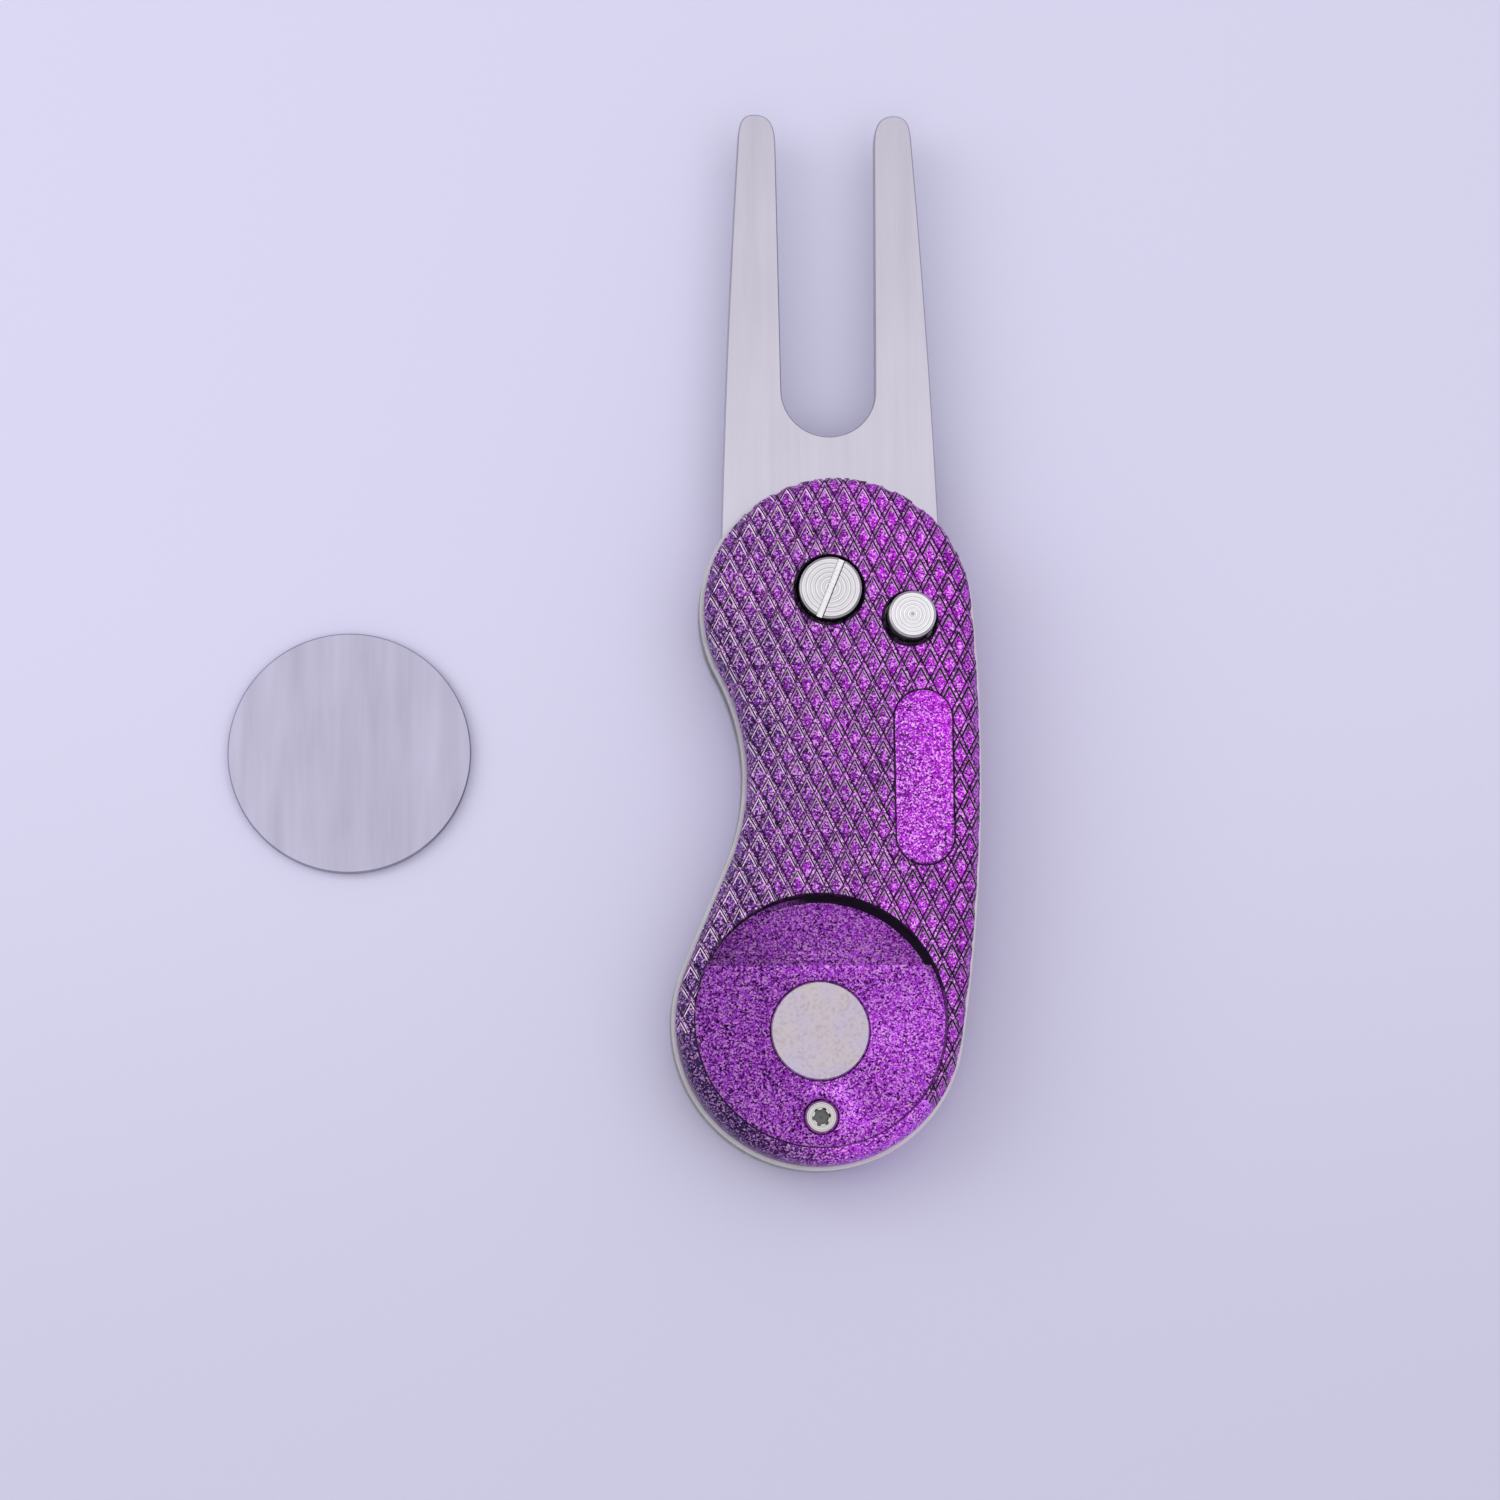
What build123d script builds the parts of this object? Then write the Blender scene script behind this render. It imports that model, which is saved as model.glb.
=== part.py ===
from build123d import *
import os
from math import acos, atan2, cos, degrees, hypot, pi, radians, sin, sqrt

# A folding two-prong turf repair tool, lying flat on its back, and its loose ball marker.
# Millimetres. The origin is on the resting plane, on the axis of the marker pocket.
# +Y runs towards the tips of the open fork, +X to the spine side, +Z up through the front cover.

# Handle outline, built from four arcs and one straight
TOP_CENTRE = (2.5, 42.3)
TOP_R = 13.7
TAIL_CENTRE = (0.0, 0.0)
TAIL_R = 14.45
WAIST_X = -6.95
WAIST_R = 23.0
SPINE_R = 190.0

# Stack of layers, from the resting plane up
REAR_COVER_T = 3.8
LINER_T = 1.0
GAP_T = 2.0
FRONT_COVER_T = 4.2
REAR_LINER_Z = REAR_COVER_T
GAP_Z = REAR_LINER_Z + LINER_T
FRONT_LINER_Z = GAP_Z + GAP_T
FRONT_COVER_Z = FRONT_LINER_Z + LINER_T
TOP_Z = FRONT_COVER_Z + FRONT_COVER_T
LINER_GROW = 0.4
COVER_FILLET = 2.2
SPACER_INSET = 0.6
SPINE_INNER_X = 13.0
SPINE_STRIP = (20.0, 43.0)
SPLIT_Y = -3.0
SPACER_BREAK = 4.0
STOCK_SIZE = (60.0, 40.0)
TANG_CLEAR = 0.35
SWEEP_R = 53.15
RIM_TOL = 0.01

# Fork
FORK_T = 1.5
FORK_Z = GAP_Z + (GAP_T - FORK_T) / 2
FORK_X = 2.1
TIP_Y = 95.9
TIP_OFFSET = 7.4
SHOULDER_Y = 92.4
SHOULDER_HALF = 9.2
MID_Y = 70.0
MID_HALF = 10.52
ROOT_HALF = 11.5
SLOT_END_Y = 66.1
SLOT_END_R = 4.9
SLOT_MOUTH_HALF = 5.2
TANG_R = 12.0
EDGE_CHAMFER = 0.12
CHAMFER_START = 1.0

# Pivot
PIVOT = (1.5, 44.0)
SLEEVE_R = 2.5
BUSHING_R = 3.6
RUNNING = 0.03
PIVOT_SHANK_R = 1.45
PIVOT_HEAD_R = 3.2
PIVOT_RECESS_R = 3.5
PIVOT_SEAT_Z = 10.6
PIVOT_TOP_Z = 12.5
PIVOT_CHAMFER = 0.2
SCREW_SLOT = (8.0, 0.62, 0.5)
SCREW_SLOT_ANGLE = 68.0
SCREW_END_Z = 1.6
SHANK_FIT = 0.1
THREAD_FIT = 0.05
NUT_BARREL_R = 2.2
NUT_FLANGE_R = 3.1
NUT_FLANGE_T = 1.0
NUT_LIFT = 0.3
NUT_FIT = 0.2
NUT_BORE_Z = 1.5
WASHER_T = 0.2
WASHER_R = 5.2
SPRING_LOW = 1.7
SPRING_ROOM = 0.3
SPRING_CLEAR = 0.1
OPENING_COIL_R = 4.6
OPENING_WIRE_R = 0.35
OPENING_TOP_Z = 3.65
OPENING_TURNS = 2.0

# Lock button
BUTTON = (9.73, 41.1)
BUTTON_CAP_R = 2.42
BUTTON_HOLE_R = 2.7
BUTTON_STEM_R = 1.5
BUTTON_TOP_Z = 13.4
BUTTON_CAP_Z = 9.4
BUTTON_CHAMFER = 0.22
CLIP_Z = 3.2
CLIP_T = 0.4
CLIP_R = 1.9
PILOT_R = 1.0
PILOT_Z = 2.4
SPRING_FLOOR_Z = 0.6
BUTTON_COIL_R = 1.45
BUTTON_WIRE_R = 0.15
BUTTON_TURNS = 3.5
FOLD_DEG = 180.0
STOP_PLAY_DEG = 0.5
WEDGE_REACH = 40.0
SLOT_PLAY = 0.1
GUIDE_FIT = 0.05

# Marker pocket, magnet, tail screw, pins, loose marker
POCKET_R = 12.65
POCKET_DEPTH = 1.5
POCKET_FLOOR_Z = TOP_Z - POCKET_DEPTH
SCOOP_Y = 5.6
SCOOP_DEPTH = 1.2
MAGNET = (0.0, -0.95)
MAGNET_R = 5.0
MAGNET_T = 2.0
MAGNET_CHAMFER = 0.15
MAGNET_FIT = 0.12
TAIL_SCREW = (0.0, -9.6)
TAIL_SHANK_R = 0.9
TAIL_HEAD_R = 1.65
TAIL_SEAT_Z = 9.3
TAIL_HEAD_Z = 10.35
TAIL_HEAD_FIT = 0.22
TAIL_CHAMFER = 0.18
TAIL_NUT_R = 1.85
SOCKET_R = 0.95
SOCKET_DEPTH = 0.6
SOCKET_TURN = 10
LOBE_PLACE = 0.78
LOBE_SIZE = 0.24
PIN_R = 0.75
PIN_Z = 2.8
PIN_L = 5.9
PIN_PLACES = [(14.9, 30.0), (14.7, 14.0), (6.0, -11.3), (-5.6, -11.3)]
MARKER = (-47.5, 28.8)
MARKER_R = 12.5
MARKER_T = 1.1

UP = (Align.CENTER, Align.CENTER, Align.MIN)


def polar(centre, radius, angle):
    return (centre[0] + radius * cos(angle), centre[1] + radius * sin(angle))


def heading(start, end):
    return atan2(end[1] - start[1], end[0] - start[0])


def disc(place, radius, low, high):
    return Pos(place[0], place[1], low) * Cylinder(radius, high - low, align=UP)


def ring(place, outer, inner, low, high):
    return disc(place, outer, low, high) - disc(place, inner, low, high)


def meeting_centre(a, reach_a, b, reach_b):
    """The point, on the far -X side of the line a-b, that lies reach_a from a and reach_b from b."""
    span = hypot(b[0] - a[0], b[1] - a[1])
    along = (reach_a ** 2 - reach_b ** 2 + span ** 2) / (2 * span)
    aside = sqrt(reach_a ** 2 - along ** 2)
    line = heading(a, b)
    foot = polar(a, along, line)
    return polar(foot, aside, line - pi / 2)


def outline(grow=0.0):
    """Face of the handle's outline, moved outwards by grow."""
    spine_centre = meeting_centre(TOP_CENTRE, SPINE_R - TOP_R, TAIL_CENTRE, SPINE_R - TAIL_R)
    waist_x = WAIST_X - WAIST_R
    waist_rise = sqrt((TOP_R + WAIST_R) ** 2 - (TOP_CENTRE[0] - waist_x) ** 2)
    waist_centre = (waist_x, TOP_CENTRE[1] - waist_rise)

    top_r = TOP_R + grow
    tail_r = TAIL_R + grow
    waist_r = WAIST_R - grow
    spine_r = SPINE_R + grow

    top_to_waist = heading(TOP_CENTRE, waist_centre)
    top_left = polar(TOP_CENTRE, top_r, top_to_waist)
    top_right = polar(TOP_CENTRE, top_r, heading(spine_centre, TOP_CENTRE))
    tail_right = polar(TAIL_CENTRE, tail_r, heading(spine_centre, TAIL_CENTRE))

    # Straight that leaves the waist arc and meets the tail arc on its other side
    between = heading(waist_centre, TAIL_CENTRE)
    reach = hypot(waist_centre[0] - TAIL_CENTRE[0], waist_centre[1] - TAIL_CENTRE[1])
    lean = acos((waist_r + tail_r) / reach)
    waist_low = polar(waist_centre, waist_r, between + lean)
    tail_left = polar(TAIL_CENTRE, tail_r, between + lean + pi)

    top_mid = polar(TOP_CENTRE, top_r, pi / 2)
    waist_mid = polar(waist_centre, waist_r, 0.0)
    tail_mid = polar(TAIL_CENTRE, tail_r, -pi / 2)
    spine_mid = polar(spine_centre, spine_r, heading(spine_centre, PIVOT) / 2)
    edges = [
        ThreePointArc(top_right, top_mid, top_left),
        ThreePointArc(top_left, waist_mid, waist_low),
        Line(waist_low, tail_left),
        ThreePointArc(tail_left, tail_mid, tail_right),
        ThreePointArc(tail_right, spine_mid, top_right),
    ]
    return make_face(edges)


def plate(low, high, grow=0.0):
    return extrude(Pos(0, 0, low) * outline(grow), amount=high - low)


def pin_holes(low, high):
    return [disc(place, PIN_R, low, high) for place in PIN_PLACES]


def rounded(part, height):
    rim = part.edges().filter_by_position(Axis.Z, height - RIM_TOL, height + RIM_TOL)
    return fillet(rim, COVER_FILLET)


def front_cover():
    cover = rounded(plate(FRONT_COVER_Z, TOP_Z), TOP_Z)
    cover -= disc(TAIL_CENTRE, POCKET_R, POCKET_FLOOR_Z, TOP_Z)
    cover -= scoop()
    cover -= disc(MAGNET, MAGNET_R + MAGNET_FIT, POCKET_FLOOR_Z - MAGNET_T, POCKET_FLOOR_Z)
    cover -= disc(TAIL_SCREW, TAIL_HEAD_R + TAIL_HEAD_FIT, TAIL_SEAT_Z, POCKET_FLOOR_Z)
    cover -= disc(TAIL_SCREW, TAIL_SHANK_R + SHANK_FIT, FRONT_COVER_Z, TAIL_SEAT_Z)
    cover -= disc(PIVOT, PIVOT_RECESS_R, PIVOT_SEAT_Z, TOP_Z)
    cover -= disc(PIVOT, PIVOT_SHANK_R + SHANK_FIT, FRONT_COVER_Z, PIVOT_SEAT_Z)
    cover -= disc(BUTTON, BUTTON_HOLE_R, FRONT_COVER_Z, TOP_Z)
    cover -= pin_holes(FRONT_COVER_Z, PIN_Z + PIN_L)
    return cover


def scoop():
    """Fingernail ramp: a wedge over the upper part of the pocket, deepest at its wall."""
    profile = Polyline(
        (SCOOP_Y, POCKET_FLOOR_Z),
        (POCKET_R, POCKET_FLOOR_Z - SCOOP_DEPTH),
        (POCKET_R, TOP_Z),
        (SCOOP_Y, TOP_Z),
        close=True,
    )
    wedge = extrude(Plane.YZ * make_face(profile), amount=POCKET_R, both=True)
    return wedge & disc(TAIL_CENTRE, POCKET_R, FRONT_COVER_Z, TOP_Z)


def rear_cover():
    cover = rounded(plate(0, REAR_COVER_T), 0)
    cover -= disc(PIVOT, NUT_FLANGE_R + NUT_FIT, 0, NUT_LIFT + NUT_FLANGE_T)
    cover -= disc(PIVOT, NUT_BARREL_R + THREAD_FIT, 0, REAR_COVER_T)
    cover -= disc(PIVOT, WASHER_R + SPRING_ROOM, SPRING_LOW - SPRING_CLEAR, REAR_COVER_T)
    cover -= disc(BUTTON, CLIP_R + SHANK_FIT, SPRING_FLOOR_Z, REAR_COVER_T)
    cover -= disc(TAIL_SCREW, TAIL_NUT_R + SHANK_FIT, 0, REAR_COVER_T)
    cover -= pin_holes(PIN_Z, REAR_COVER_T)
    return cover


def liner(low):
    sheet = plate(low, low + LINER_T, LINER_GROW)
    sheet -= disc(PIVOT, SLEEVE_R + RUNNING, low, low + LINER_T)
    sheet -= disc(BUTTON, BUTTON_STEM_R + GUIDE_FIT, low, low + LINER_T)
    sheet -= disc(TAIL_SCREW, TAIL_SHANK_R + SHANK_FIT, low, low + LINER_T)
    sheet -= pin_holes(low, low + LINER_T)
    return sheet


def spacer_stock():
    stock = plate(GAP_Z, FRONT_LINER_Z, -SPACER_INSET)
    return stock - pin_holes(GAP_Z, FRONT_LINER_Z)


def spine_spacer():
    """Backbone along the spine edge, clear of the folded fork and of the tang."""
    strip = Pos(SPINE_INNER_X, SPLIT_Y, GAP_Z) * Box(*SPINE_STRIP, GAP_T, align=(Align.MIN,) * 3)
    return (spacer_stock() & strip) - disc(PIVOT, TANG_R + TANG_CLEAR, GAP_Z, FRONT_LINER_Z)


def tail_spacer():
    """Crescent at the tail, beyond the reach of the sweeping tips."""
    corner = (Align.CENTER, Align.MAX, Align.MIN)
    below = Pos(0, SPLIT_Y - SPACER_BREAK, GAP_Z) * Box(*STOCK_SIZE, GAP_T, align=corner)
    crescent = (spacer_stock() & below) - disc(PIVOT, SWEEP_R, GAP_Z, FRONT_LINER_Z)
    return crescent - disc(TAIL_SCREW, TAIL_SHANK_R + SHANK_FIT, GAP_Z, FRONT_LINER_Z)


def prong_outline():
    """Fork blade from the pivot line to the tips, about its own centre line, with its slot."""
    taper = atan2(SLOT_MOUTH_HALF - SLOT_END_R, SHOULDER_Y - SLOT_END_Y)
    foot = polar((0, SLOT_END_Y), SLOT_END_R, -taper)
    edges = []
    for hand in (1, -1):
        root = (hand * ROOT_HALF, PIVOT[1])
        shoulder = (hand * SHOULDER_HALF, SHOULDER_Y)
        flank = ThreePointArc(root, (hand * MID_HALF, MID_Y), shoulder)
        slot_side = Line((hand * SLOT_MOUTH_HALF, SHOULDER_Y), (hand * foot[0], foot[1]))
        nose = (hand * TIP_OFFSET, TIP_Y)
        outer = Spline(flank @ 1, nose, tangents=[flank % 1, (-hand, 0)])
        inner = Spline(nose, slot_side @ 0, tangents=[(-hand, 0), slot_side % 0])
        edges += [flank, outer, inner, slot_side]
    edges.append(ThreePointArc(foot, (0, SLOT_END_Y - SLOT_END_R), (-foot[0], foot[1])))
    edges.append(Line((-ROOT_HALF, PIVOT[1]), (ROOT_HALF, PIVOT[1])))
    return make_face(edges)


def stem_track():
    """Arc slot in the tang that the button's stem runs in: its two ends are the fork's stops."""
    offset = (BUTTON[0] - PIVOT[0], BUTTON[1] - PIVOT[1])
    radius = hypot(*offset)
    half = BUTTON_STEM_R + SLOT_PLAY
    start = degrees(atan2(offset[1], offset[0])) + STOP_PLAY_DEG
    turn = -FOLD_DEG - 2 * STOP_PLAY_DEG
    band = ring(PIVOT, radius + half, radius - half, GAP_Z, FRONT_LINER_Z)
    wedge_arc = CenterArc((0, 0), WEDGE_REACH, start, turn)
    wedge = make_face([wedge_arc, Line(wedge_arc @ 1, (0, 0)), Line((0, 0), wedge_arc @ 0)])
    sector = extrude(Pos(PIVOT[0], PIVOT[1], GAP_Z) * wedge, amount=GAP_T)
    track = band & sector
    for angle in (start, start + turn):
        track += disc(polar(PIVOT, radius, radians(angle)), half, GAP_Z, FRONT_LINER_Z)
    return track


def fork():
    blade = extrude(Pos(FORK_X, 0, FORK_Z) * prong_outline(), amount=FORK_T)
    flat_edges = blade.faces().filter_by(Axis.Z).edges()
    rims = flat_edges.filter_by_position(Axis.Y, PIVOT[1] + CHAMFER_START, TIP_Y)
    blade = chamfer(rims, EDGE_CHAMFER)
    blade += disc(PIVOT, TANG_R, FORK_Z, FORK_Z + FORK_T)
    blade -= disc(PIVOT, BUSHING_R, FORK_Z, FORK_Z + FORK_T)
    blade -= stem_track()
    return blade


def fork_bushing():
    return ring(PIVOT, BUSHING_R, SLEEVE_R + RUNNING, FORK_Z, FORK_Z + FORK_T)


def pivot_sleeve():
    return ring(PIVOT, SLEEVE_R, PIVOT_SHANK_R + THREAD_FIT, REAR_LINER_Z, FRONT_COVER_Z)


def pivot_washer(low):
    return ring(PIVOT, WASHER_R, SLEEVE_R + RUNNING, low, low + WASHER_T)


def pivot_screw():
    head = disc(PIVOT, PIVOT_HEAD_R, PIVOT_SEAT_Z, PIVOT_TOP_Z)
    head = chamfer(head.edges().group_by(Axis.Z)[-1], PIVOT_CHAMFER)
    screw = head + disc(PIVOT, PIVOT_SHANK_R, SCREW_END_Z, PIVOT_SEAT_Z)
    slot = Box(*SCREW_SLOT, align=(Align.CENTER, Align.CENTER, Align.MAX))
    return screw - Pos(PIVOT[0], PIVOT[1], PIVOT_TOP_Z) * Rot(0, 0, SCREW_SLOT_ANGLE) * slot


def pivot_nut():
    barrel = disc(PIVOT, NUT_BARREL_R, NUT_LIFT, REAR_COVER_T)
    flange = disc(PIVOT, NUT_FLANGE_R, NUT_LIFT, NUT_LIFT + NUT_FLANGE_T)
    return barrel + flange - disc(PIVOT, PIVOT_SHANK_R + THREAD_FIT, NUT_BORE_Z, REAR_COVER_T)


def lock_button():
    cap = disc(BUTTON, BUTTON_CAP_R, BUTTON_CAP_Z, BUTTON_TOP_Z)
    cap = chamfer(cap.edges().group_by(Axis.Z)[-1], BUTTON_CHAMFER)
    stem = disc(BUTTON, BUTTON_STEM_R, CLIP_Z + CLIP_T, BUTTON_CAP_Z)
    pilot = disc(BUTTON, PILOT_R, PILOT_Z, CLIP_Z + CLIP_T)
    return cap + stem + pilot


def button_clip():
    return ring(BUTTON, CLIP_R, PILOT_R, CLIP_Z, CLIP_Z + CLIP_T)


def coil(place, mean_r, wire_r, low, high, turns):
    """Closed-section wire wound between two heights, measured over the wire."""
    height = high - low - 2 * wire_r
    path = Pos(place[0], place[1], low + wire_r) * Helix(height / turns, height, mean_r)
    section = Plane(path @ 0, z_dir=path % 0) * Circle(wire_r)
    return sweep(section, path=path, is_frenet=True)


def opening_spring():
    return coil(PIVOT, OPENING_COIL_R, OPENING_WIRE_R, SPRING_LOW, OPENING_TOP_Z, OPENING_TURNS)


def button_spring():
    return coil(BUTTON, BUTTON_COIL_R, BUTTON_WIRE_R, SPRING_FLOOR_Z, CLIP_Z, BUTTON_TURNS)


def magnet():
    body = disc(MAGNET, MAGNET_R, POCKET_FLOOR_Z - MAGNET_T, POCKET_FLOOR_Z)
    return chamfer(body.edges().group_by(Axis.Z)[-1], MAGNET_CHAMFER)


def six_lobe(radius):
    star = Circle(radius * LOBE_PLACE)
    for step in range(6):
        lobe = polar((0, 0), radius * LOBE_PLACE, radians(60 * step + SOCKET_TURN))
        star += Pos(*lobe) * Circle(radius * LOBE_SIZE)
    return star


def tail_screw():
    head = disc(TAIL_SCREW, TAIL_HEAD_R, TAIL_SEAT_Z, TAIL_HEAD_Z)
    head = chamfer(head.edges().group_by(Axis.Z)[-1], TAIL_CHAMFER)
    screw = head + disc(TAIL_SCREW, TAIL_SHANK_R, SCREW_END_Z, TAIL_SEAT_Z)
    socket = extrude(Pos(*TAIL_SCREW, TAIL_HEAD_Z) * six_lobe(SOCKET_R), amount=-SOCKET_DEPTH)
    return screw - socket


def tail_nut():
    nut = disc(TAIL_SCREW, TAIL_NUT_R, NUT_LIFT, REAR_COVER_T)
    return nut - disc(TAIL_SCREW, TAIL_SHANK_R + THREAD_FIT, NUT_BORE_Z, REAR_COVER_T)


def locating_pins():
    return Compound(children=[disc(place, PIN_R, PIN_Z, PIN_Z + PIN_L) for place in PIN_PLACES])


def ball_marker():
    coin = disc(MARKER, MARKER_R, 0, MARKER_T)
    rims = coin.edges().filter_by(GeomType.CIRCLE)
    return chamfer(rims, EDGE_CHAMFER)


NODES = {
    "rear_cover": rear_cover,
    "rear_liner": lambda: liner(REAR_LINER_Z),
    "front_liner": lambda: liner(FRONT_LINER_Z),
    "front_cover": front_cover,
    "spine_spacer": spine_spacer,
    "tail_spacer": tail_spacer,
    "locating_pins": locating_pins,
    "pivot_screw": pivot_screw,
    "pivot_nut": pivot_nut,
    "pivot_sleeve": pivot_sleeve,
    "pivot_washer_front": lambda: pivot_washer(FRONT_LINER_Z - WASHER_T),
    "pivot_washer_rear": lambda: pivot_washer(GAP_Z),
    "opening_spring": opening_spring,
    "tail_screw": tail_screw,
    "tail_nut": tail_nut,
    "magnet": magnet,
    "button_spring": button_spring,
    "fork": fork,
    "fork_bushing": fork_bushing,
    "lock_button": lock_button,
    "button_clip": button_clip,
    "ball_marker": ball_marker,
}

os.makedirs("parts", exist_ok=True)
for name, make in NODES.items():
    export_step(make(), f"parts/{name}.step")
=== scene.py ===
from math import cos, pi, radians, sin

import bmesh
import bpy
from mathutils import Matrix, Vector


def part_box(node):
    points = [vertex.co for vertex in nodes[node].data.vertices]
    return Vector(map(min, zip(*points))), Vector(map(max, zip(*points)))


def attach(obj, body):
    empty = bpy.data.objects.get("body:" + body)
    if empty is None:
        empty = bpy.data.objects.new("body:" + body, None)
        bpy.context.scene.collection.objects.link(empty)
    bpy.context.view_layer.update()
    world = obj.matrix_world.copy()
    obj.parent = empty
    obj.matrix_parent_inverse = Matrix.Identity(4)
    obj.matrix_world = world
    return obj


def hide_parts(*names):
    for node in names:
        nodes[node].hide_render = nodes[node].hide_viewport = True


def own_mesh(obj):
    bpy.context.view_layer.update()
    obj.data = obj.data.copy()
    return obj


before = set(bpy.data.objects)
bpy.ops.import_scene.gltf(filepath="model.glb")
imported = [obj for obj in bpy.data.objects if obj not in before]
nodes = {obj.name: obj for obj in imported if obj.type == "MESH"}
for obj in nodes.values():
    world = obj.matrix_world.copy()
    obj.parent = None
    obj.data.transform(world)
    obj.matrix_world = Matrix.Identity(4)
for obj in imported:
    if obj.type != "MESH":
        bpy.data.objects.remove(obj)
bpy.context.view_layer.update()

mm = 0.001
print("frame loaded:", len(nodes), "nodes")


class Sock:
    # wraps an output socket, so that shader maths reads as plain arithmetic

    def __init__(self, mat, out):
        self.mat = mat
        self.out = out

    def _op(self, kind, *args):
        return self.mat.node("ShaderNodeMath", {"operation": kind}, dict(enumerate(args)))

    def __add__(self, other):
        return self._op("ADD", self, other)

    __radd__ = __add__

    def __sub__(self, other):
        return self._op("SUBTRACT", self, other)

    def __rsub__(self, other):
        return self._op("SUBTRACT", other, self)

    def __mul__(self, other):
        return self._op("MULTIPLY", self, other)

    __rmul__ = __mul__

    def __truediv__(self, other):
        return self._op("DIVIDE", self, other)

    def sine(self):
        return self._op("SINE", self)

    def root(self):
        return self._op("SQRT", self)

    def floor(self):
        return self._op("FLOOR", self)

    def less(self, other):
        return self._op("LESS_THAN", self, other)

    def heading(self, x):
        # the angle round the Z axis, with this as Y
        return self._op("ARCTAN2", self, x)

    def clamp(self, low=0.0, high=1.0):
        return self._op("MINIMUM", self._op("MAXIMUM", self, low), high)

    def step(self, low, high):
        ranges = {"From Min": low, "From Max": high, "Value": self}
        return self.mat.node("ShaderNodeMapRange", {"interpolation_type": "SMOOTHSTEP"}, ranges)


class Tree:
    # what a shader tree and a geometry tree have in common

    def feed(self, socket, value):
        if isinstance(value, Sock):
            self.tree.links.new(value.out, socket)
        elif hasattr(value, "__len__") and len(value) == 3 and socket.type == "RGBA":
            socket.default_value = (*value, 1.0)
        else:
            socket.default_value = value

    def node(self, kind, settings=None, inputs=None, output=0):
        made = self.tree.nodes.new(kind)
        for key, value in (settings or {}).items():
            setattr(made, key, value)
        for key, value in (inputs or {}).items():
            self.feed(made.inputs[key], value)
        return Sock(self, made.outputs[output])

    def vector(self, kind, *args, output=0):
        return self.node("ShaderNodeVectorMath", {"operation": kind}, dict(enumerate(args)), output)

    def split(self, vector):
        made = self.tree.nodes.new("ShaderNodeSeparateXYZ")
        self.feed(made.inputs[0], vector)
        return [Sock(self, made.outputs[i]) for i in range(3)]

    def join(self, x, y, z):
        return self.node("ShaderNodeCombineXYZ", None, {0: x, 1: y, 2: z})


class Finish(Tree):
    # one material with a Principled surface

    def __init__(self, name, **fixed):
        self.data = bpy.data.materials.new(name)
        self.data.use_nodes = True
        self.tree = self.data.node_tree
        self.shader = self.tree.nodes["Principled BSDF"]
        for socket, value in fixed.items():
            self.feed(self.shader.inputs[socket.replace("_", " ")], value)

    def place(self):
        return self.node("ShaderNodeTexCoord", output="Object")

    def mapped(self, scale=(1, 1, 1), centre=(0, 0, 0), turn=0.0):
        moved = self.vector("SUBTRACT", self.place(), centre)
        return self.node("ShaderNodeMapping", None, {"Vector": moved, "Rotation": (0, 0, turn), "Scale": scale})

    def noise(self, vector, scale, detail=2.0, rough=0.5):
        inputs = {"Vector": vector, "Scale": scale, "Detail": detail, "Roughness": rough}
        return self.node("ShaderNodeTexNoise", None, inputs)

    def cells(self, vector, scale):
        return self.node("ShaderNodeTexVoronoi", None, {"Vector": vector, "Scale": scale}, "Color")

    def blend(self, factor, a, b):
        made = self.tree.nodes.new("ShaderNodeMix")
        made.data_type = "RGBA"
        self.feed(made.inputs["Factor"], factor)
        self.feed(made.inputs[6], a)
        self.feed(made.inputs[7], b)
        return Sock(self, made.outputs[2])

    def smaller(self, a, b):
        return a._op("MINIMUM", a, b)

    def larger(self, a, b):
        return a._op("MAXIMUM", a, b)

    def size(self, a):
        return a._op("ABSOLUTE", a)

    def window(self, value, low, high):
        # 1 between low and high, 0 elsewhere
        return (1 - value.less(low)) * value.less(high)

    def bump(self, height, depth, strength):
        inputs = {"Height": height, "Distance": depth, "Strength": strength}
        self.set(Normal=self.node("ShaderNodeBump", None, inputs))

    def set(self, **values):
        for socket, value in values.items():
            self.feed(self.shader.inputs[socket.replace("_", " ")], value)


knurl = {
    "across": 1.946 * mm,    # from one diamond to the next, along X
    "along": 3.767 * mm,     # and along Y
    "lean": 0.0107,          # how far the columns lean to the right, as a slope
    "centre": (2.69 * mm, 21.04 * mm, 0.0),
    "web": 0.118,            # half width of the raised web between diamonds, as a share of a cell
    "wall": 0.03,            # the diamond's sloping side, the same way
    "depth": 0.16 * mm,
    "lift": 0.02 * mm,
    "cells": 44,             # each way, enough to pass the outline on every side
    "dome": 2.2 * mm,        # width of the rounded edge
    "reach": 3.2 * mm,       # how far past the outline the skin is carried down the side
    "shell": 1.2 * mm,       # thickness of the cutter outside the skin
    "onEdge": 0.01 * mm,     # nearer to the outline's face than this counts as inside
    "weld": 1e-7,            # points of the cutter nearer than this are one
    "bandLow": radians(-175.0),     # the smooth band's two ends, as angles round the pocket
    "bandHigh": radians(-38.0),
    "bandReach": 12.7 * mm,         # the smooth band lies outside this
}

pad = {
    "centre": (10.8 * mm, 24.6 * mm),
    "half": (2.9 * mm, 8.9 * mm),
    "rim": 0.2 * mm,         # painted shade line round it
    "sides": 96,
    # its crown, from the hidden foot up: how far in from the rim, and how high over the cover
    "rings": [
        (0.0, -0.5 * mm), (0.0, 0.02 * mm), (0.13 * mm, 0.10 * mm), (0.5 * mm, 0.13 * mm), (1.4 * mm, 0.15 * mm),
    ],
}
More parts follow.
